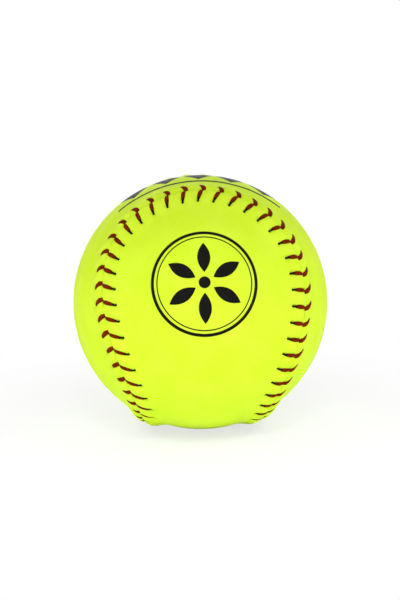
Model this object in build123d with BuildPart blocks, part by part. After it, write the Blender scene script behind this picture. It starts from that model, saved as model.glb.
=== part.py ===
"""A 12-inch softball with a raised seam, in millimetres.

Two figure-eight leather panels are sewn round a moulded core with two threads.
The origin is the centre of the ball. The lower panel has its waist at -Z and its
two lobes at -Y (front) and +Y. The upper panel is the same blank turned over: its
waist is at +Z and its lobes are at +X and -X. The seam is one closed line, and the
stitches travel along it from the upper end of the front lobe towards +X.
"""

import os
from math import cos, exp, pi, radians, sin

from build123d import *

# Ball, over the leather and away from the seam
circumference = 304.8
leather = 1.4
cement_film = 0.1

# Seam line on the ball: half angle of a waist, sideways swing and ripple
waist_angle = 24.8
seam_swing = 22.6
seam_ripple = -0.017

# Raised edge of a panel, seen in a section across the seam
seam_rise = 2.1
ridge_reach = 9.5
crease_depth = 0.5
crease_reach = 0.8
channel_rise = 1.4
seam_gap = 0.5
foot_step = 0.05
foot_overlap = 0.15
foot_tongue = 1.0

# Stitches
stitches = 88
hole_offset = 5.3
hole_diameter = 1.1
hole_slip = 0.65
stitch_lead = 1.8
strand_gap = 1.1

# Thread: flattened over the leather, thinner in the holes, the gap and the channel
thread_width = 1.4
thread_thickness = 0.7
hole_width = 0.84
hole_thickness = 0.5
tucked_width = 0.8
tucked_thickness = 0.36
thread_clearance = 0.12
core_clearance = 0.2
lip_clearance = 0.3
mouth_clearance = 0.45

# How finely curves are drawn
seam_points = 96
foot_points = 64
foot_spans = 16
rim_spans = 8
span_sections = 8
crown_stops = [0.08, 0.16, 0.29, 0.45, 0.62, 0.75]
over_stops = [0.36, 0.68]

ball_radius = circumference / (2 * pi)
lining_radius = ball_radius - leather
core_radius = lining_radius - cement_film
cutter_margin = 2 * seam_rise


def seam_direction(turn):
    """Unit vector from the centre to the seam line; turn runs once round, in radians."""
    swing = (1 - seam_ripple) * cos(2 * turn) + seam_ripple * cos(6 * turn)
    fall = pi / 2 - (pi / 2 - radians(waist_angle)) * swing
    around = turn + radians(seam_swing) * sin(4 * turn)
    return Vector(sin(fall) * cos(around), sin(fall) * sin(around), -cos(fall))


# The seam line starts at the upper end of the front lobe
with BuildLine() as seam_line:
    steps = [2 * pi * i / seam_points - pi / 2 for i in range(seam_points)]
    Spline([seam_direction(turn) * ball_radius for turn in steps], periodic=True)
seam = seam_line.edge()
seam_length = seam.length


def seam_plane(share):
    """Plane across the seam at a share of its length: x towards the upper panel, y outward."""
    out = (seam @ (share % 1)).normalized()
    along = seam % (share % 1)
    return Plane(origin=(0, 0, 0), x_dir=out.cross(along), z_dir=along)


def outward(share, across):
    """Unit vector to the spot that lies across millimetres beside the seam."""
    plane = seam_plane(share)
    angle = across / ball_radius
    return plane.y_dir * cos(angle) + plane.x_dir * sin(angle)


def crown_height(across):
    """Height of the leather over the plain ball, at a distance from the seam."""
    swell = cos(pi / 2 * min(abs(across) / ridge_reach, 1)) ** 2
    return seam_rise * swell - foot_step - crease_depth * exp(-abs(across) / crease_reach)


def lining_height(across):
    """Height of the leather's underside over the plain ball: it makes room for the thread."""
    return channel_rise * cos(pi / 2 * min(abs(across) / ridge_reach, 1)) + foot_step - leather


def hole_share(stitch, side):
    """Place of a hole along the seam; the two rows are in step at waists and lobe ends."""
    slip = -side * hole_slip * sin(4 * pi * stitch / stitches)
    return stitch / stitches + slip / seam_length


# Rim of the lower panel: the raised edge along the whole seam, with its row of holes
def rim_point(height, across):
    """Point of a rim section, on the lower panel's side of the seam."""
    radius = ball_radius + height
    angle = -across / ball_radius
    return (radius * sin(angle), radius * cos(angle))


def rim_section(share):
    """Section of the raised edge, with a tongue that reaches into the plain leather."""
    foot = ridge_reach + foot_overlap
    places = [seam_gap / 2] + [stop * ridge_reach for stop in crown_stops] + [foot]
    crown = [rim_point(crown_height(across), across) for across in places]
    lining = [rim_point(lining_height(across), across) for across in places]
    tip = rim_point(-leather / 2, ridge_reach + foot_tongue)
    with BuildSketch(seam_plane(share)) as section:
        with BuildLine():
            Spline(*crown)
            Spline(*lining)
            Line(crown[0], lining[0])
            Line(crown[-1], tip)
            Line(lining[-1], tip)
        make_face()
    return section.sketch


def rim_span(number):
    """One length of the rim, with the holes that fall in it."""
    half_pitch = 1 / (2 * stitches)
    start = number / rim_spans - half_pitch
    shares = [start + step / (rim_spans * span_sections) for step in range(span_sections + 1)]
    first = -(-number * stitches // rim_spans)
    last = -(-(number + 1) * stitches // rim_spans)
    axes = [outward(hole_share(stitch, -1), -hole_offset) for stitch in range(first, last)]
    with BuildPart() as span:
        loft([rim_section(share) for share in shares])
        with Locations(*[Plane(origin=axis * ball_radius, z_dir=axis) for axis in axes]):
            Cylinder(hole_diameter / 2, 2 * (leather + seam_rise), mode=Mode.SUBTRACT)
    return span.part


def foot_line(radius):
    """Closed line at the foot of the rim, at a distance from the ball's centre."""
    shares = [i / foot_points for i in range(foot_points)]
    with BuildLine() as line:
        Spline([outward(share, -ridge_reach) * radius for share in shares], periodic=True)
    return line.edge()


inner_foot = foot_line(lining_radius - cutter_margin)
outer_foot = foot_line(ball_radius + cutter_margin)
cutter_faces = []
for span_number in range(foot_spans):
    ends = (span_number / foot_spans, (span_number + 1) / foot_spans)
    cutter_faces.append(Face.make_surface_from_curves(inner_foot.trim(*ends), outer_foot.trim(*ends)))

with BuildPart() as shell:
    Sphere(ball_radius, rotation=(0, 90, 0))
    Sphere(lining_radius, rotation=(0, 90, 0), mode=Mode.SUBTRACT)
    split(bisect_by=Shell(cutter_faces), keep=Keep.BOTH)

with BuildPart() as lower_cover:
    add(shell.solids().sort_by(Axis.Z)[0])
    add([rim_span(number) for number in range(rim_spans)])
lower_cover.part.label = "lower_cover"

# The upper panel is the same blank, turned half round about the line between the lobes
with BuildPart() as upper_cover:
    add(lower_cover.part.rotate(Axis((0, 0, 0), (1, 1, 0)), 180))
upper_cover.part.label = "upper_cover"

with BuildPart() as core:
    Sphere(core_radius)
core.part.label = "core"


# Threads: each strand changes sides at every stitch, over the leather and back beneath it
def strand_ring(spot, side_dir, run_dir, width, thickness):
    """Corners of the thread's flat six-sided section at a spot, square to the way it runs."""
    a = width / 2
    b = thickness / 2
    corners = [(a, 0), (a / 2, b), (-a / 2, b), (-a, 0), (-a / 2, -b), (a / 2, -b)]
    plane = Plane(origin=spot, x_dir=side_dir, z_dir=run_dir)
    return [plane.from_local_coords((x, y, 0)) for x, y in corners]


def hole_spot(stitch, side):
    """Direction of a hole from the ball's centre."""
    return outward(hole_share(stitch, side), side * hole_offset)


def dive_spot(stitch, side):
    """Direction of the spot where a strand goes down the gap: the upper panel's strand lies ahead."""
    lead = stitch_lead + side * strand_gap / 2
    return outward(stitch / stitches + lead / seam_length, 0)


def stitch_rings(stitch, side):
    """Rings of one stitch: up through a hole, over the ridge, down the gap and away beneath."""
    hole = hole_spot(stitch, side)
    dive = dive_spot(stitch, side)
    over = (dive - hole).normalized()
    came_from = (hole - dive_spot(stitch - 1, -side)).normalized()
    goes_to = (hole_spot(stitch + 1, -side) - dive).normalized()
    tucked_radius = core_radius + core_clearance + hole_thickness / 2
    mouth_radius = ball_radius + crown_height(hole_offset) + mouth_clearance
    lip_radius = ball_radius + crown_height(seam_gap / 2) + lip_clearance
    # The width of the strand keeps to the way the stitches travel, also where the strand turns back
    over_side = hole.cross(over) * side
    rising_side = (over_side - hole.cross(came_from) * side).normalized()
    tucked_side = (over_side + dive.cross(goes_to) * side).normalized()
    rings = []
    rings.append(strand_ring(hole * tucked_radius, rising_side, came_from + hole, hole_width, hole_thickness))
    rings.append(strand_ring(hole * mouth_radius, over_side, over + hole, hole_width, hole_thickness))
    for way in over_stops:
        out = (hole * (1 - way) + dive * way).normalized()
        top = crown_height(hole_offset * (1 - way)) + thread_clearance + thread_thickness / 2
        rings.append(strand_ring(out * (ball_radius + top), over_side, over, thread_width, thread_thickness))
    rings.append(strand_ring(dive * lip_radius, over_side, over - dive, tucked_width, tucked_thickness))
    rings.append(strand_ring(dive * tucked_radius, tucked_side, goes_to, tucked_width, tucked_thickness))
    return rings


def thread_solid(first_side):
    """One unbroken thread: flat facets between its rings, closed on the first ring."""
    rings = []
    for stitch in range(stitches):
        side = first_side if stitch % 2 == 0 else -first_side
        rings += stitch_rings(stitch, side)
    facets = []
    for ring, following in zip(rings, rings[1:] + rings[:1]):
        for corner in range(len(ring)):
            beside = (corner + 1) % len(ring)
            facets.append(Face(Wire.make_polygon([ring[corner], ring[beside], following[beside]])))
            facets.append(Face(Wire.make_polygon([ring[corner], following[beside], following[corner]])))
    return Solid(Shell(facets))


with BuildPart() as first_thread:
    add(thread_solid(-1), clean=False)
first_thread.part.label = "first_thread"

with BuildPart() as second_thread:
    add(thread_solid(1), clean=False)
second_thread.part.label = "second_thread"

os.makedirs("parts", exist_ok=True)
export_step(core.part, "parts/core.step")
export_step(lower_cover.part, "parts/lower_cover.step")
export_step(upper_cover.part, "parts/upper_cover.step")
export_step(first_thread.part, "parts/first_thread.step")
export_step(second_thread.part, "parts/second_thread.step")
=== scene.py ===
"""A 12-inch softball, dressed: leather panels, threads, core and print, with floor, light and camera.

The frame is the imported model's: metres, origin at the centre of the ball, +Z up, -Y to the front.
Shapes are worked out here in millimetres from the seam line and scaled when a mesh is made.
"""

import math

import bpy
import numpy as np
from mathutils import Matrix, Vector, geometry, noise


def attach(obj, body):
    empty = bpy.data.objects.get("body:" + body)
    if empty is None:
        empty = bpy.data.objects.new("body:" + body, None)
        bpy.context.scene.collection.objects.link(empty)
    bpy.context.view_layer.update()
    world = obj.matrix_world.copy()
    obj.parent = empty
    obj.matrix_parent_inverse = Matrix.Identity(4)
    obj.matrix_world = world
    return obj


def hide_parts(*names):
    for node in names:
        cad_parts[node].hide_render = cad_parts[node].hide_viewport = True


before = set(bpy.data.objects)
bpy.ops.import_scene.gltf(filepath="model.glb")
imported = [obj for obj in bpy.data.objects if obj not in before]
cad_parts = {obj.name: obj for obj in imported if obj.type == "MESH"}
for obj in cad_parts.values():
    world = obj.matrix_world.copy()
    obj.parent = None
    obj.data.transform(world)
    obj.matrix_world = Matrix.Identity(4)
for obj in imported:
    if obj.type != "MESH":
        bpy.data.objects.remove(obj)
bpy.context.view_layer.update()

MM = 0.001
BALL = 304.8 / (2 * math.pi)
LEATHER = 1.4
CEMENT_FILM = 0.1
CORE = BALL - LEATHER - CEMENT_FILM

# Seam line and stitches, as in the solids, but for the closer strands and the lower panel's nearer holes
WAIST = math.radians(24.8)
SWING = math.radians(22.6)
RIPPLE = -0.017
STITCHES = 88
HOLE_OFFSETS = {-1: 4.8, 1: 5.3}
HOLE_SLIP = 0.65
LEAD = 1.8
STRAND_GAP = 0.85

# Unevenness of hand sewing along the two rows of holes and along the seam between them:
# times round the seam, with the cosine's and the sine's millimetres
DRIFTS = {-1: [(3, 0.0, 0.84), (4, -0.88, -0.13)], 0: [(4, -0.67, 1.01)], 1: [(4, -0.28, 0.62)]}

# Wander of the whole sewn seam towards the upper panel, written the same way
WANDERS = [(5, -0.10, -0.75)]

# Raised seam
RISE = 2.1
CHANNEL_RISE = 1.4
REACH = 9.5
EDGE = 0.06
CREASE_DEPTH = 0.75
CREASE_REACH = 0.55

# Pull of the stitches on the leather: a groove under each leg, swells between them, dented holes
PULL_LEAST = 0.75
PULL_SPREAD = 0.5
GROOVE = 0.5
GROOVE_WIDTH = 0.9
GROOVE_AT_SEAM = 0.55
GROOVE_END = 1.5
SWELL = 0.55
SWELL_PLACE = 3.2
SWELL_WIDTH = 2.9
HOLE_DEPTH = 0.9
HOLE_RADIUS = 0.56
HOLE_SHADE_RADIUS = 0.85 * HOLE_RADIUS
HOLE_STEEPNESS = 4
HOLE_FLOOR = -0.45
DENT = 0.12
DENT_RADIUS = 1.5

# Slow unevenness of the stretched leather: millimetres high, and waves over the ball's radius,
# with the millimetres over which it starts past the foot of the seam
WAVES = [(0.05, 5.0), (0.03, 13.0)]
WAVE_START = 2

# Numbers that spread the pull of the stitches
SCATTER = (12.9898, 4.1414, 43758.5453)

# How finely the seam line is followed, cut into even lengths and searched
FINE_STEPS = 40000
SEAM_COUNT = 80 * STITCHES
SEARCH_STEP = 4

# Mesh of a panel
COLUMNS = 20 * STITCHES
LINING_STEP = 8
EDGE_ROWS = [EDGE, 0.14, 0.25, 0.4, 0.6]
LEG_ROWS = np.arange(0.9, 3.9, 0.4)
HOLE_ROWS = np.arange(4.1, 6.7, 0.22)
FOOT_ROWS = [7.1, 7.6, 8.2, 8.8, 9.5, 10.3, 11.2]
ROWS = np.concatenate([EDGE_ROWS, LEG_ROWS, HOLE_ROWS, FOOT_ROWS])
LINING_ROWS = [EDGE, 3.0, REACH]
FILL_POINTS = 30000
FILL_GAP = 0.55
LINING_POINTS = 4000
LINING_GAP = 1.5
BATCH = 2000
KEEP_INSIDE = 1
SAME_SPOT = 1e-9

# Core: the line where the halves of its mould met, and the places of its rings from that line
PARTING_DEPTH = 0.15
PARTING_WIDTH = 0.5
CORE_COLUMNS = 160
PARTING_ROWS = [0.0, 0.2, 0.4, 0.6, 0.9, 1.3]
PLAIN_CORE_ROWS = np.linspace(2.5, 0.49 * math.pi * CORE, 40)
CORE_ROWS = np.concatenate([PARTING_ROWS, PLAIN_CORE_ROWS])
CORE_SEED = 3

# Mesh of a thread
AROUND = 20
PLIES = 3
PLY_DEPTH = 0.1
PLY_MEAN = 0.6
TURN_LENGTH = 4.2


def unit(vectors):
    """The same vectors, one long."""
    return vectors / np.linalg.norm(vectors, axis=-1, keepdims=True)


def harmonics(turn, terms):
    """Sum of waves round the seam: times round, with the cosine's and the sine's millimetres."""
    return sum(a * np.cos(times * turn) + b * np.sin(times * turn) for times, a, b in terms)


def heading(points):
    """Directions along a closed row of points on the ball."""
    along = np.roll(points, -1, 0) - np.roll(points, 1, 0)
    return unit(along - points * np.sum(along * points, 1)[:, None])


def seam_samples(count):
    """Points of the seam line at even steps of length, the directions along it and its length."""
    turn = np.linspace(0, 2 * np.pi, FINE_STEPS + 1) - np.pi / 2
    fall = np.pi / 2 - (np.pi / 2 - WAIST) * ((1 - RIPPLE) * np.cos(2 * turn) + RIPPLE * np.cos(6 * turn))
    around = turn + SWING * np.sin(4 * turn)
    line = np.stack([np.sin(fall) * np.cos(around), np.sin(fall) * np.sin(around), -np.cos(fall)], 1)
    length = np.r_[0, np.cumsum(np.linalg.norm(np.diff(line, axis=0), axis=1))]
    steps = np.arange(count) / count * length[-1]
    points = unit(np.stack([np.interp(steps, length, line[:, i]) for i in range(3)], 1))
    aside = harmonics(2 * np.pi * np.arange(count) / count, WANDERS) / BALL
    points = unit(points + np.cross(points, heading(points)) * aside[:, None])
    return points, heading(points), length[-1] * BALL


SEAM, ALONG, SEAM_LENGTH = seam_samples(SEAM_COUNT)
TOWARDS_UPPER = np.cross(SEAM, ALONG)
PITCH = SEAM_LENGTH / STITCHES


def looked_up(table, share):
    """Rows of a seam table at shares of the seam's length."""
    place = np.mod(share, 1) * SEAM_COUNT
    low = np.floor(place).astype(int)
    part = (place - low)[..., None]
    return table[low % SEAM_COUNT] * (1 - part) + table[(low + 1) % SEAM_COUNT] * part


def outward(share, across):
    """Directions of the spots that lie across millimetres beside the seam, towards the upper panel."""
    angle = (np.asarray(across) / BALL)[..., None]
    return unit(looked_up(SEAM, share) * np.cos(angle) + looked_up(TOWARDS_UPPER, share) * np.sin(angle))


def scatter(number):
    """A fixed number from 0 to 1 for each whole number."""
    value = np.sin(number * SCATTER[0] + SCATTER[1]) * SCATTER[2]
    return value - np.floor(value)


def drift(stitch, row):
    """How far sewing has carried a stitch along its row, in millimetres."""
    return harmonics(2 * np.pi * stitch / STITCHES, DRIFTS[row])


def hole_slip(stitch, side):
    """How far a hole lies ahead of its stitch, in millimetres."""
    return drift(stitch, side) - side * HOLE_SLIP * np.sin(4 * np.pi * stitch / STITCHES)


def leg_lead(stitch, side):
    """How far ahead of its stitch a leg goes down into the seam: the upper panel's leg lies ahead."""
    return LEAD + side * STRAND_GAP / 2 + drift(stitch, 0)


def from_hole(share, side, across):
    """Distance from the nearest hole of a panel."""
    place = share * STITCHES
    ahead = (np.mod(place - hole_slip(place, side) / PITCH + 0.5, 1) - 0.5) * PITCH
    return np.hypot(ahead, across - HOLE_OFFSETS[side])


def leather_height(share, side, across, holes=True):
    """Height of a panel over the plain ball, across millimetres from the seam."""
    place = share * STITCHES
    ridge = RISE * np.cos(np.pi / 2 * np.clip(across / REACH, 0, 1)) ** 2
    crease = CREASE_DEPTH * np.exp(-across / CREASE_REACH)
    way = np.clip(across / HOLE_OFFSETS[side], 0, 1)
    leg = leg_lead(place, side) * (1 - way) + hole_slip(place, side) * way
    off = np.mod(place - leg / PITCH + 0.5, 1) - 0.5
    number = np.round(place - leg / PITCH - off)
    pull = PULL_LEAST + PULL_SPREAD * scatter(number + 2 * STITCHES * side)
    past = np.clip(across - HOLE_OFFSETS[side], 0, None)
    groove = GROOVE * pull * np.exp(-((off * PITCH / GROOVE_WIDTH) ** 2))
    groove = groove * (GROOVE_AT_SEAM + (1 - GROOVE_AT_SEAM) * way) * np.exp(-((past / GROOVE_END) ** 2))
    swell = SWELL * pull * np.sin(np.pi * off) ** 2 * np.exp(-(((across - SWELL_PLACE) / SWELL_WIDTH) ** 2))
    height = ridge - crease - groove + swell
    if holes:
        apart = from_hole(share, side, across)
        height = height - HOLE_DEPTH * np.exp(-((apart / HOLE_RADIUS) ** HOLE_STEEPNESS))
        height = height - DENT * np.exp(-((apart / DENT_RADIUS) ** 2))
        height = np.maximum(height, HOLE_FLOOR)
    return height


def undulation(directions, seed):
    """Slow unevenness of stretched leather, in millimetres."""
    start = Vector((seed, seed, 0))
    places = [Vector(direction) for direction in directions]
    return np.array([sum(high * noise.noise(p * often + start) for high, often in WAVES) for p in places])


def nearest_seam(directions):
    """Distance of each direction from the seam, positive on the upper panel's side."""
    coarse = SEAM[::SEARCH_STEP]
    side = TOWARDS_UPPER[::SEARCH_STEP]
    out = np.zeros(len(directions))
    for start in range(0, len(directions), BATCH):
        part = directions[start:start + BATCH]
        best = np.argmax(part @ coarse.T, axis=1)
        angle = np.arccos(np.clip(np.sum(part * coarse[best], 1), -1, 1))
        out[start:start + BATCH] = angle * BALL * np.sign(np.sum(part * side[best], 1))
    return out


def spread(count):
    """Evenly spread directions."""
    i = np.arange(count) + 0.5
    up = 1 - 2 * i / count
    around = np.pi * (1 + 5 ** 0.5) * i
    flat = np.sqrt(1 - up * up)
    return np.stack([flat * np.cos(around), flat * np.sin(around), up], 1)


def turned_over(directions):
    """The half turn that carries the lower panel to the upper one, and back."""
    return np.stack([directions[:, 1], directions[:, 0], -directions[:, 2]], 1)


def fill(ring, side, count, gap):
    """Points inside a closed ring on one panel, and triangles over the ring's points and them."""
    points = spread(count)
    deepest = nearest_seam(ring).min() if side < 0 else nearest_seam(ring).max()
    inside = nearest_seam(points) * side > abs(deepest) + gap
    points = points[inside]
    both = np.concatenate([ring, points])
    flat = turned_over(both) if side > 0 else both
    flat = flat[:, :2] / (1 - flat[:, 2:])
    edges = [(i, (i + 1) % len(ring)) for i in range(len(ring))]
    found = geometry.delaunay_2d_cdt([Vector(p) for p in flat], edges, [], KEEP_INSIDE, SAME_SPOT)
    _, _, faces, sources, _, _ = found
    order = [source[0] for source in sources]
    triangles = [[order[i] for i in face] for face in faces]
    return points, triangles


def mesh_object(name, points, faces, attributes=()):
    """A smooth mesh object, from points in millimetres."""
    mesh = bpy.data.meshes.new(name)
    mesh.from_pydata((np.asarray(points) * MM).tolist(), [], faces)
    for key, kind, values in attributes:
        layer = mesh.attributes.new(key, kind, "POINT")
        field = "value" if kind == "FLOAT" else "vector"
        layer.data.foreach_set(field, np.asarray(values, np.float32).ravel())
    mesh.polygons.foreach_set("use_smooth", [True] * len(mesh.polygons))
    mesh.update()
    piece = bpy.data.objects.new(name, mesh)
    bpy.context.scene.collection.objects.link(piece)
    return piece


def panel(name, side):
    """A leather panel: raised, pulled and pierced along the seam, plain in the middle, with its lining."""
    columns = np.arange(COLUMNS) / COLUMNS
    points, painted_shade, faces = [], [], []
    for across in ROWS:
        out = outward(columns, np.full(COLUMNS, side * across))
        high = leather_height(columns, side, np.full(COLUMNS, across))
        if across > REACH:
            high = high + undulation(out, side) * min((across - REACH) / WAVE_START, 1)
        points.append(out * (BALL + high)[:, None])
        # Painted shade in and round each hole, kept in the hole attribute
        apart = from_hole(columns, side, np.full(COLUMNS, across))
        painted_shade.append(np.exp(-((apart / HOLE_SHADE_RADIUS) ** HOLE_STEEPNESS)))
    rings = len(ROWS)
    for row in range(rings - 1):
        for i in range(COLUMNS):
            a, b = row * COLUMNS + i, row * COLUMNS + (i + 1) % COLUMNS
            faces.append((a, b, b + COLUMNS, a + COLUMNS) if side > 0 else (a, a + COLUMNS, b + COLUMNS, b))
    start = (rings - 1) * COLUMNS
    inner, triangles = fill(unit(points[-1]), side, FILL_POINTS, FILL_GAP)
    points.append(inner * (BALL + undulation(inner, side))[:, None])
    painted_shade.append(np.zeros(len(inner)))
    faces += [tuple(start + i for i in face[::-1]) for face in triangles]

    # Cut edge and lining, with fewer columns
    count = sum(len(p) for p in points)
    few = COLUMNS // LINING_STEP
    bands = len(LINING_ROWS) - 1
    shares = np.arange(few) / few
    for across in LINING_ROWS:
        out = outward(shares, np.full(few, side * across))
        lift = CHANNEL_RISE * math.cos(math.pi / 2 * min(across / REACH, 1)) - LEATHER
        points.append(out * (BALL + lift))
        painted_shade.append(np.zeros(few))
    for j in range(few):
        top = [(j * LINING_STEP + i) % COLUMNS for i in range(LINING_STEP + 1)]
        foot = [count + j, count + (j + 1) % few]
        wall = [(top[i + 1], top[i], foot[0]) for i in range(LINING_STEP)] + [(top[-1], foot[0], foot[1])]
        faces += wall if side > 0 else [face[::-1] for face in wall]
        for row in range(bands):
            a, b = foot[0] + row * few, foot[1] + row * few
            faces.append((b, a, a + few, b + few) if side > 0 else (b + few, a + few, a, b))
    start = count + bands * few
    inner, triangles = fill(unit(points[-1]), side, LINING_POINTS, LINING_GAP)
    points.append(inner * (BALL - LEATHER))
    painted_shade.append(np.zeros(len(inner)))
    faces += [tuple(start + i for i in face) for face in triangles]
    return mesh_object(name, np.concatenate(points), faces, [("hole", "FLOAT", np.concatenate(painted_shade))])


def moulded_core(name):
    """The core: a slightly uneven ball with a shallow groove round it, where its mould parted."""
    rises = np.concatenate([-CORE_ROWS[:0:-1], CORE_ROWS]) / CORE
    turn = 2 * np.pi * np.arange(CORE_COLUMNS) / CORE_COLUMNS
    circle = np.stack([np.cos(turn), np.sin(turn), np.zeros(CORE_COLUMNS)], 1)
    rings = [circle * np.cos(rise) + np.array([0, 0, np.sin(rise)]) for rise in rises]
    directions = np.concatenate(rings + [np.array([[0, 0, -1.0], [0, 0, 1.0]])])
    from_line = np.arcsin(directions[:, 2]) * CORE
    groove = PARTING_DEPTH * np.exp(-((from_line / PARTING_WIDTH) ** 2))
    points = directions * (CORE - groove - np.abs(undulation(directions, CORE_SEED)))[:, None]
    count = len(rises) * CORE_COLUMNS
    faces = []
    for i in range(CORE_COLUMNS):
        j = (i + 1) % CORE_COLUMNS
        for start in range(0, count - CORE_COLUMNS, CORE_COLUMNS):
            faces.append((start + i, start + j, start + j + CORE_COLUMNS, start + i + CORE_COLUMNS))
        top = count - CORE_COLUMNS
        faces += [(count, j, i), (count + 1, top + i, top + j)]
    return mesh_object(name, points, faces)


# Share of the way from hole to seam, and the thread's width there for the legs of each side
LEG_WAYS = [0.0, 0.1, 0.22, 0.38, 0.56, 0.75, 0.9, 1.0]
LEG_WIDTHS = {
    -1: [0.5, 0.76, 1.26, 1.66, 1.68, 1.42, 1.1, 0.92],
    1: [0.55, 0.9, 1.4, 1.75, 1.9, 1.95, 1.85, 1.6],
}
LEG_HEIGHTS = [0.5, 0.55, 0.6, 0.68, 0.7, 0.66, 0.58, 0.5]
LEG_STEPS = np.linspace(0.03, 0.97, 17)

# How the thread lies on the leather: lift over it as a share of its thickness, and how deep and
# over what share of the way it sinks at the hole and at the seam
LEG_LIFT = 0.25
SINK_AT_HOLE = (0.35, 0.1)
SINK_AT_SEAM = (0.25, 0.08)
LEG_FOOT = 0.35

# Width and thickness of the thread where it lies out of sight
IN_HOLE = (0.62, 0.5)
IN_GAP = (1.2, 0.42)
TUCKED = (0.7, 0.36)
TUCKED_RADIUS = CORE + 0.5
HOLE_MOUTH = 0.45
HOLE_NECK = 0.5
GAP_MOUTH = 1.0
GAP_NECK = 0.7

# Painted shade on the thread where it goes into the leather: share and reach from a hole along the
# legs of each side, the same at the seam, and share at the thread's sides and underside
SHADE_AT_HOLE = 0.9
HOLE_SHADE_REACH = {-1: 0.23, 1: 0.32}
SHADE_AT_SEAM = (0.35, 0.06)
EDGE_SHADE = 0.85
EDGE_FADE = 1.5
FIBRE_STRETCH = 0.08


def leg_spots(stitch, side):
    """Shares of the seam's length at a leg's hole and where the leg goes down into the seam."""
    hole = (stitch + hole_slip(stitch, side) / PITCH) / STITCHES
    dive = (stitch + leg_lead(stitch, side) / PITCH) / STITCHES
    return hole, dive


def faded(way, most):
    """An amount that fades with the way from where it is greatest: the amount and its reach."""
    return most[0] * math.exp(-((way / most[1]) ** 2))


def thread(name, first_side):
    """One closed thread that changes sides at every stitch: over the leather and back beneath it."""
    spots, widths, heights, sideways, painted_shade = [], [], [], [], []

    def put(spot, width, height, wide, painted_shade_share):
        spots.append(spot)
        widths.append(width)
        heights.append(height)
        sideways.append(wide)
        painted_shade.append(painted_shade_share)

    for stitch in range(STITCHES):
        side = first_side if stitch % 2 == 0 else -first_side
        hole, dive = leg_spots(stitch, side)
        hole_out = outward(np.array(hole), np.array(side * HOLE_OFFSETS[side]))
        dive_out = outward(np.array(dive), np.array(0.0))
        over = unit(dive_out - hole_out)
        wide = np.cross(hole_out, over) * side
        next_hole = leg_spots(stitch + 1, -side)[0]
        next_out = outward(np.array(next_hole), np.array(-side * HOLE_OFFSETS[-side]))
        rest = leather_height(np.array(hole), side, np.array(HOLE_OFFSETS[side]), holes=False)
        # Inside the holes and beneath the leather the thread is painted fully shaded
        put(hole_out * TUCKED_RADIUS, *TUCKED, wide, 1.0)
        put(hole_out * (BALL - HOLE_NECK), *IN_HOLE, wide, 1.0)
        put(hole_out * (BALL + rest - HOLE_MOUTH), *IN_HOLE, wide, 1.0)
        for way in LEG_STEPS:
            share = hole + (dive - hole) * way
            across = HOLE_OFFSETS[side] * (1 - way)
            out = outward(np.array(share), np.array(side * across))
            width = np.interp(way, LEG_WAYS, LEG_WIDTHS[side])
            height = np.interp(way, LEG_WAYS, LEG_HEIGHTS)
            lie = leather_height(np.array(share), side, np.array(max(across, LEG_FOOT)), holes=False)
            sink = faded(way, SINK_AT_HOLE) + faded(1 - way, SINK_AT_SEAM)
            # Painted shade, darkest where the leg goes into its hole and into the seam
            painted_shade_share = faded(way, (SHADE_AT_HOLE, HOLE_SHADE_REACH[side])) + faded(1 - way, SHADE_AT_SEAM)
            put(out * (BALL + lie + LEG_LIFT * height - sink), width, height, wide, painted_shade_share)
        put(dive_out * (BALL + RISE - GAP_MOUTH), *IN_GAP, wide, 1.0)
        put(dive_out * (TUCKED_RADIUS + GAP_NECK), *TUCKED, wide, 1.0)
        away = unit(next_out - dive_out)
        turn = unit(wide - np.cross(dive_out, away) * side)
        put(dive_out * TUCKED_RADIUS, *TUCKED, turn, 1.0)
        put(unit(dive_out + next_out) * TUCKED_RADIUS, *TUCKED, np.cross(dive_out, away) * -side, 1.0)

    spots, sideways = np.array(spots), unit(np.array(sideways))
    runs = unit(np.roll(spots, -1, 0) - np.roll(spots, 1, 0))
    wide = unit(sideways - runs * np.sum(sideways * runs, 1)[:, None])
    thick = np.cross(runs, wide)
    length = np.r_[0, np.cumsum(np.linalg.norm(np.diff(spots, axis=0), axis=1))]
    turns = round(length[-1] / TURN_LENGTH)
    twist = 2 * np.pi * turns * length / (length[-1] + np.linalg.norm(spots[0] - spots[-1]))
    angle = 2 * np.pi * np.arange(AROUND) / AROUND
    strand = angle[None] - twist[:, None]
    ply = 1 + PLY_DEPTH * (np.abs(np.cos(PLIES / 2 * strand)) - PLY_MEAN)
    x = np.cos(angle)[None] * np.array(widths)[:, None] / 2 * ply
    y = np.sin(angle)[None] * np.array(heights)[:, None] / 2 * ply
    points = spots[:, None] + wide[:, None] * x[..., None] + thick[:, None] * y[..., None]
    run = np.repeat(length[:, None] * FIBRE_STRETCH, AROUND, 1)
    fibre = np.stack([np.cos(strand), np.sin(strand), run], -1)
    # Painted shade along the thread's sides and underside, where it faces the leather
    facing = np.sin(angle)[None] * np.sum(thick * unit(spots), 1)[:, None]
    edges = EDGE_SHADE * (1 - np.clip(facing, 0, 1)) ** EDGE_FADE
    painted_shade_share = np.clip(np.array(painted_shade)[:, None] + edges, 0, 1)
    rings = len(spots)
    faces = []
    for i in range(rings):
        for j in range(AROUND):
            a, b = i * AROUND + j, i * AROUND + (j + 1) % AROUND
            c, d = (i + 1) % rings * AROUND + (j + 1) % AROUND, (i + 1) % rings * AROUND + j
            faces.append((a, b, c, d))
    attributes = [("painted_shade_share", "FLOAT", painted_shade_share.ravel()), ("fibre", "FLOAT_VECTOR", fibre.reshape(-1, 3))]
    return mesh_object(name, points.reshape(-1, 3), faces, attributes)


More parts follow.
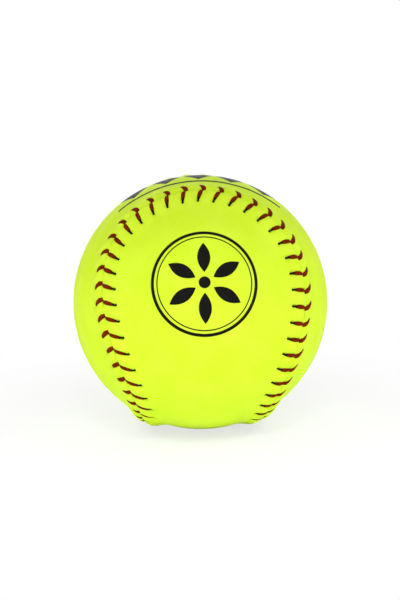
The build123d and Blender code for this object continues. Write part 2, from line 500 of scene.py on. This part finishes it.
class Nodes:
    """A material's node tree, with short ways to add nodes."""

    def __init__(self, name):
        self.material = bpy.data.materials.new(name)
        self.material.use_nodes = True
        self.tree = self.material.node_tree
        self.shader = self.tree.nodes["Principled BSDF"]

    def add(self, kind, inputs=None, **settings):
        node = self.tree.nodes.new(kind)
        for key, value in settings.items():
            setattr(node, key, value)
        for key, value in (inputs or {}).items():
            self.feed(value, node.inputs[key])
        return node

    def feed(self, value, socket):
        if isinstance(value, bpy.types.NodeSocket):
            self.tree.links.new(value, socket)
        else:
            socket.default_value = value

    def math(self, operation, *values):
        inputs = dict(enumerate(values))
        return self.add("ShaderNodeMath", inputs, operation=operation).outputs[0]

    def dot(self, vector, direction):
        inputs = {0: vector, 1: direction}
        return self.add("ShaderNodeVectorMath", inputs, operation="DOT_PRODUCT").outputs["Value"]

    def ramp(self, value, low, high, to_low=0.0, to_high=1.0):
        inputs = {"Value": value, "From Min": low, "From Max": high, "To Min": to_low, "To Max": to_high}
        return self.add("ShaderNodeMapRange", inputs, interpolation_type="SMOOTHSTEP").outputs["Result"]

    def bump(self, height, strength, depth):
        inputs = {"Height": height, "Strength": strength, "Distance": depth}
        return self.add("ShaderNodeBump", inputs).outputs["Normal"]

    def mix(self, share, first, second):
        node = self.add("ShaderNodeMix", data_type="RGBA")
        sockets = [s for s in node.inputs if s.enabled]
        for value, socket in zip((share, first, second), sockets):
            self.feed(value, socket)
        return [s for s in node.outputs if s.enabled][0]

    def set(self, **inputs):
        for key, value in inputs.items():
            self.feed(value, self.shader.inputs[key.replace("_", " ")])


# Ink on the leather, in millimetres: a ring round a rosette at the front, and a row of lozenges on the top
INK_EDGE = 0.06
INK_DEPTH = 20.0
INK_FADE = 1.0
FRONT_TILT = math.radians(19)
RINGS = [(18.2, 0.55), (16.6, 0.22)]
PETALS = 6
PETAL_PLACE = 9.0
PETAL_HALF = (5.4, 2.3)
HUB_RADIUS = 2.1
LOZENGE_PITCH = 12.0
LOZENGE_HALF = (5.4, 7.4)
LINE_PLACE = 9.8
LINE_HALF = 0.75
ROW_HALF = 30.0


def stroke(nodes, value, place, half):
    """Negative within a line of a half width that lies at a place."""
    off = nodes.math("ABSOLUTE", nodes.math("SUBTRACT", value, place))
    return nodes.math("SUBTRACT", off, half)


def inked(nodes, shape, depth):
    """1 where a shape is negative, on the half of the ball that the print faces."""
    inside = nodes.ramp(shape, INK_EDGE, -INK_EDGE)
    return nodes.math("MULTIPLY", inside, nodes.ramp(depth, INK_DEPTH, INK_DEPTH + INK_FADE))


def front_ink(nodes, place):
    """Where the front print lies: two rings, with petals and a hub inside them."""
    out = Vector((0, -math.cos(FRONT_TILT), math.sin(FRONT_TILT)))
    right = Vector((1, 0, 0))
    x, y = nodes.dot(place, right), nodes.dot(place, out.cross(right))
    far = nodes.math("SQRT", nodes.math("ADD", nodes.math("MULTIPLY", x, x), nodes.math("MULTIPLY", y, y)))
    turn = nodes.math("WRAP", nodes.math("ARCTAN2", x, y), math.pi / PETALS, -math.pi / PETALS)
    ahead = nodes.math("MULTIPLY", far, nodes.math("COSINE", turn))
    beside = nodes.math("MULTIPLY", far, nodes.math("SINE", turn))
    long = nodes.math("DIVIDE", nodes.math("SUBTRACT", ahead, PETAL_PLACE), PETAL_HALF[0])
    wide = nodes.math("DIVIDE", beside, PETAL_HALF[1])
    petal = nodes.math("ADD", nodes.math("MULTIPLY", long, long), nodes.math("ABSOLUTE", wide))
    petal = nodes.math("MULTIPLY", nodes.math("SUBTRACT", petal, 1), PETAL_HALF[1])
    shape = nodes.math("MINIMUM", petal, nodes.math("SUBTRACT", far, HUB_RADIUS))
    for radius, half in RINGS:
        shape = nodes.math("MINIMUM", shape, stroke(nodes, far, radius, half))
    return inked(nodes, shape, nodes.dot(place, out))


def top_ink(nodes, place):
    """Where the top print lies: a row of lozenges with a line along each side."""
    x, y = nodes.dot(place, (1, 0, 0)), nodes.math("ABSOLUTE", nodes.dot(place, (0, 1, 0)))
    cell = nodes.math("ABSOLUTE", nodes.math("WRAP", x, LOZENGE_PITCH / 2, -LOZENGE_PITCH / 2))
    along, across = nodes.math("DIVIDE", cell, LOZENGE_HALF[0]), nodes.math("DIVIDE", y, LOZENGE_HALF[1])
    lozenge = nodes.math("SUBTRACT", nodes.math("ADD", along, across), 1)
    lozenge = nodes.math("MULTIPLY", lozenge, LOZENGE_HALF[0] / 2)
    shape = nodes.math("MINIMUM", lozenge, stroke(nodes, y, LINE_PLACE, LINE_HALF))
    shape = nodes.math("MAXIMUM", shape, nodes.math("SUBTRACT", nodes.math("ABSOLUTE", x), ROW_HALF))
    return inked(nodes, shape, nodes.dot(place, (0, 0, 1)))


def in_millimetres(nodes):
    """The place on the object, in millimetres."""
    place = nodes.add("ShaderNodeTexCoord").outputs["Object"]
    return nodes.add("ShaderNodeVectorMath", {0: place, "Scale": 1 / MM}, operation="SCALE").outputs["Vector"]


OPTIC_YELLOW = (0.715, 0.955, 0.045, 1)
YELLOW_DEEP = (0.680, 0.930, 0.030, 1)
INK_BLACK = (0.008, 0.008, 0.007, 1)
INK_GREY = (0.014, 0.014, 0.014, 1)
HOLE_PAINTED_SHADE = (0.012, 0.014, 0.002, 1)
LEATHER_SHINE = 0.03
LEATHER_ROUGH = (0.48, 0.60)
INK_SMOOTHER = 0.2
INK_WEAR = (0.93, 1.0)
PORE_SHADE = 0.5
GRAIN_DEPTH = 0.2 * MM
GRAIN_STRENGTH = 0.7
GRAIN_PORES = 0.6
GRAIN_FINE = 0.5

# Leather textures: scale and detail, and the limits between which each one counts
CLOUD = {"Scale": 0.09, "Detail": 3.0}
PORES = {"Scale": 1.7}
FINE = {"Scale": 3.2, "Detail": 4.0}
CLOUD_LIMITS = (0.35, 0.7)
PORE_LIMITS = (0.16, 0.02)
WEAR_LIMITS = (0.2, 0.36)
HOLE_SHADE_LIMITS = (0.25, 0.75)
ROUGH_LIMITS = (0.3, 0.8)


def leather_material(name, ink_shape, ink_colour):
    """Optic-yellow leather with a fine grain, print and painted shade in its holes."""
    nodes = Nodes(name)
    place = in_millimetres(nodes)
    cloud = nodes.add("ShaderNodeTexNoise", {"Vector": place, **CLOUD}).outputs["Fac"]
    pores = nodes.add("ShaderNodeTexVoronoi", {"Vector": place, **PORES}).outputs["Distance"]
    fine = nodes.add("ShaderNodeTexNoise", {"Vector": place, **FINE}).outputs["Fac"]
    hole = nodes.add("ShaderNodeAttribute", attribute_name="hole").outputs["Fac"]
    colour = nodes.mix(nodes.ramp(cloud, *CLOUD_LIMITS), YELLOW_DEEP, OPTIC_YELLOW)
    colour = nodes.mix(nodes.ramp(pores, *PORE_LIMITS, 0.0, PORE_SHADE), colour, YELLOW_DEEP)
    ink = ink_shape(nodes, place)
    worn = nodes.math("MULTIPLY", ink, nodes.ramp(fine, *WEAR_LIMITS, *INK_WEAR))
    colour = nodes.mix(worn, colour, ink_colour)
    # Painted shade in the holes
    colour = nodes.mix(nodes.ramp(hole, *HOLE_SHADE_LIMITS), colour, HOLE_PAINTED_SHADE)
    pitted = nodes.math("MULTIPLY", pores, GRAIN_PORES)
    grain = nodes.math("ADD", pitted, nodes.math("MULTIPLY", fine, GRAIN_FINE))
    bump = nodes.bump(grain, GRAIN_STRENGTH, GRAIN_DEPTH)
    smoother = nodes.math("MULTIPLY", ink, -INK_SMOOTHER)
    rough = nodes.ramp(nodes.math("ADD", fine, smoother), *ROUGH_LIMITS, *LEATHER_ROUGH)
    nodes.set(Base_Color=colour, Roughness=rough, Normal=bump, Specular_IOR_Level=LEATHER_SHINE)
    return nodes.material


THREAD_RED = (0.222, 0.019, 0.001, 1)
THREAD_DEEP = (0.095, 0.009, 0.001, 1)
THREAD_PAINTED_SHADE = (0.009, 0.005, 0.001, 1)
THREAD_SHINE = 0.03
THREAD_ROUGH = (0.75, 0.6)
FIBRE_DEPTH = 0.12 * MM
FIBRE_STRENGTH = 0.5
STREAK = {"Scale": 5.0, "Detail": 5.0}
STREAK_LIMITS = (0.3, 0.62)
STREAK_ROUGH_LIMITS = (0.2, 0.8)
PAINTED_SHADE_LIMITS = (0.1, 0.9)


def thread_material():
    """Waxed twisted thread, streaked, with painted shade between its fibres, where it goes into the leather
    and along its underside.
    """
    nodes = Nodes("waxed_red_thread")
    fibre = nodes.add("ShaderNodeAttribute", attribute_name="fibre").outputs["Vector"]
    painted_shade_share = nodes.add("ShaderNodeAttribute", attribute_name="painted_shade_share").outputs["Fac"]
    streak = nodes.add("ShaderNodeTexNoise", {"Vector": fibre, **STREAK}).outputs["Fac"]
    # Streaks of tone along the fibres; the darker streaks lie where the fibre bump is low, so they also paint
    # shade between the fibres
    colour = nodes.mix(nodes.ramp(streak, *STREAK_LIMITS), THREAD_DEEP, THREAD_RED)
    # Painted shade where the thread goes into the leather and along its sides and underside
    colour = nodes.mix(nodes.ramp(painted_shade_share, *PAINTED_SHADE_LIMITS), colour, THREAD_PAINTED_SHADE)
    bump = nodes.bump(streak, FIBRE_STRENGTH, FIBRE_DEPTH)
    rough = nodes.ramp(streak, *STREAK_ROUGH_LIMITS, *THREAD_ROUGH)
    nodes.set(Base_Color=colour, Roughness=rough, Normal=bump, Specular_IOR_Level=THREAD_SHINE)
    return nodes.material


FOAM_DEEP = (0.66, 0.56, 0.33, 1)
FOAM_CREAM = (0.74, 0.66, 0.43, 1)
FOAM_ROUGH = (0.75, 0.9)
CELL_DEPTH = 0.2 * MM
CELL_STRENGTH = 0.4
FOAM_CLOUD = {"Scale": 0.15, "Detail": 4.0}
FOAM_CLOUD_LIMITS = (0.3, 0.7)
CELLS = {"Scale": 1.4}
CELL_LIMITS = (0.0, 0.5)


def core_material():
    """Moulded foam: cream, with fine cells and a slightly uneven colour."""
    nodes = Nodes("moulded_core_foam")
    place = in_millimetres(nodes)
    cloud = nodes.add("ShaderNodeTexNoise", {"Vector": place, **FOAM_CLOUD}).outputs["Fac"]
    cells = nodes.add("ShaderNodeTexVoronoi", {"Vector": place, **CELLS}).outputs["Distance"]
    colour = nodes.mix(nodes.ramp(cloud, *FOAM_CLOUD_LIMITS), FOAM_DEEP, FOAM_CREAM)
    bump = nodes.bump(cells, CELL_STRENGTH, CELL_DEPTH)
    rough = nodes.ramp(cells, *CELL_LIMITS, *FOAM_ROUGH)
    nodes.set(Base_Color=colour, Roughness=rough, Normal=bump)
    return nodes.material


def shown_straight(nodes):
    """1 on rays that show the background: from the camera, in reflections and through glass."""
    path = nodes.add("ShaderNodeLightPath").outputs
    shown = nodes.math("MAXIMUM", path["Is Camera Ray"], path["Is Glossy Ray"])
    return nodes.math("MAXIMUM", shown, path["Is Transmission Ray"])


WHITE = (1, 1, 1, 1)
FLOOR_WHITE = (0.92, 0.92, 0.92, 1)
FLOOR_ROUGH = 0.9
FLOOR_SHINE = 0.1
SHADOW_KEPT = 0.3
SHADOW_REACH = 0.16


def floor_material():
    """Pale floor that shows white to the camera and keeps a faint shadow."""
    nodes = Nodes("pale_floor")
    nodes.set(Base_Color=FLOOR_WHITE, Roughness=FLOOR_ROUGH, Specular_IOR_Level=FLOOR_SHINE)
    white = nodes.add("ShaderNodeEmission", {"Color": WHITE, "Strength": 1.0}).outputs[0]
    place = nodes.add("ShaderNodeTexCoord").outputs["Object"]
    far = nodes.add("ShaderNodeVectorMath", {0: place}, operation="LENGTH").outputs["Value"]
    plain = nodes.ramp(far, BALL * MM, SHADOW_REACH, 1 - SHADOW_KEPT)
    share = nodes.math("MULTIPLY", shown_straight(nodes), plain)
    sockets = {0: share, 1: nodes.shader.outputs[0], 2: white}
    mixed = nodes.add("ShaderNodeMixShader", sockets).outputs[0]
    nodes.feed(mixed, nodes.tree.nodes["Material Output"].inputs["Surface"])
    return nodes.material


# Pieces
lower = panel("lower_panel", -1)
lower.data.materials.append(leather_material("optic_leather_front", front_ink, INK_BLACK))
upper = panel("upper_panel", 1)
upper.data.materials.append(leather_material("optic_leather_top", top_ink, INK_GREY))
red_thread = thread_material()
first = thread("first_strand", -1)
second = thread("second_strand", 1)
for piece in (first, second):
    piece.data.materials.append(red_thread)
middle = moulded_core("moulded_core")
middle.data.materials.append(core_material())

for piece, node, slot in (
    (middle, "core", "core_foam"),
    (lower, "lower_cover", "cover_leather"),
    (upper, "upper_cover", "cover_leather"),
    (first, "first_thread", "seam_thread"),
    (second, "second_thread", "seam_thread"),
):
    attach(piece, "root")
    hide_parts(node)

# Floor and backdrop: a round floor with an upright rim far behind the object
STAGE_RADIUS = 6.0
STAGE_HEIGHT = 2.0
STAGE_SIDES = 96
low = -BALL * MM
corners = [2 * math.pi * i / STAGE_SIDES for i in range(STAGE_SIDES)]
ring = [(math.cos(corner), math.sin(corner)) for corner in corners]
stage_points = [(x * STAGE_RADIUS, y * STAGE_RADIUS, low) for x, y in ring]
stage_points += [(x * STAGE_RADIUS, y * STAGE_RADIUS, low + STAGE_HEIGHT) for x, y in ring]
stage_faces = [tuple(range(STAGE_SIDES))]
for i in range(STAGE_SIDES):
    j = (i + 1) % STAGE_SIDES
    stage_faces.append((j, i, i + STAGE_SIDES, j + STAGE_SIDES))
floor_mesh = bpy.data.meshes.new("floor")
floor_mesh.from_pydata(stage_points, [], stage_faces)
floor = bpy.data.objects.new("floor", floor_mesh)
bpy.context.scene.collection.objects.link(floor)
floor.data.materials.append(floor_material())

# Light: name, place, aim, size, power and spread of the beam
BALL_CENTRE = (0.0, 0.0, 0.0)
WIDE = math.radians(180)
LIGHTS = [
    ("left", (-1.8, -1.0, 0.08), BALL_CENTRE, 0.24, 5.1, WIDE),
    ("right", (1.8, -1.0, 0.08), BALL_CENTRE, 0.24, 5.5, WIDE),
    ("floor_wash", (0.0, -0.6, 0.5), (0.0, -0.22, -0.05), 0.2, 0.235, math.radians(36)),
    ("floor_wash_left", (-0.5, -0.3, 0.5), (-0.13, -0.06, -0.05), 0.2, 0.055, math.radians(20)),
    ("floor_wash_right", (0.5, -0.3, 0.5), (0.13, -0.06, -0.05), 0.2, 0.055, math.radians(20)),
    ("back", (0.0, 1.8, 0.4), BALL_CENTRE, 1.2, 8.0, WIDE),
]
for name, place, aim, size, power, beam in LIGHTS:
    lamp = bpy.data.lights.new(name, "AREA")
    lamp.size = size
    lamp.energy = power
    lamp.spread = beam
    holder = bpy.data.objects.new(name, lamp)
    holder.location = place
    holder.rotation_euler = (Vector(aim) - Vector(place)).to_track_quat("-Z", "Y").to_euler()
    bpy.context.scene.collection.objects.link(holder)

AMBIENT = 0.55
world = bpy.data.worlds.new("studio")
bpy.context.scene.world = world
world.use_nodes = True
surroundings = world.node_tree.nodes["Background"]
surroundings.inputs["Color"].default_value = WHITE
surroundings.inputs["Strength"].default_value = AMBIENT

# Camera, from the seam and stitches in the photograph
PHOTO_HEIGHT = 600
CAMERA_FAR = 10.63
CAMERA_TURN = math.radians(2.06)
CAMERA_RISE = math.radians(10.91)
CAMERA_ROLL = math.radians(1.15)
BALL_PIXELS = 127.0
BALL_ASIDE = 0.3
BALL_DROP = 2.0
SENSOR_HEIGHT = 24.0
NEAREST_SEEN = 0.01
level = Vector((-math.sin(CAMERA_TURN), -math.cos(CAMERA_TURN), 0))
back = level * math.cos(CAMERA_RISE) + Vector((0, 0, math.sin(CAMERA_RISE)))
right = Vector((0, 0, 1)).cross(back).normalized()
up = back.cross(right)
rolled_right = right * math.cos(CAMERA_ROLL) - up * math.sin(CAMERA_ROLL)
rolled_up = right * math.sin(CAMERA_ROLL) + up * math.cos(CAMERA_ROLL)
eye = bpy.data.cameras.new("camera")
eye.sensor_fit = "VERTICAL"
eye.sensor_height = SENSOR_HEIGHT
eye.lens = BALL_PIXELS * math.sqrt(CAMERA_FAR ** 2 - 1) / PHOTO_HEIGHT * SENSOR_HEIGHT
eye.shift_x = -BALL_ASIDE / PHOTO_HEIGHT
eye.shift_y = BALL_DROP / PHOTO_HEIGHT
eye.clip_start = NEAREST_SEEN
camera = bpy.data.objects.new("camera", eye)
camera.matrix_world = Matrix((
    (rolled_right.x, rolled_up.x, back.x, back.x * CAMERA_FAR * BALL * MM),
    (rolled_right.y, rolled_up.y, back.y, back.y * CAMERA_FAR * BALL * MM),
    (rolled_right.z, rolled_up.z, back.z, back.z * CAMERA_FAR * BALL * MM),
    (0, 0, 0, 1),
))
bpy.context.scene.collection.objects.link(camera)
bpy.context.scene.camera = camera
bpy.context.scene.view_settings.view_transform = "Standard"
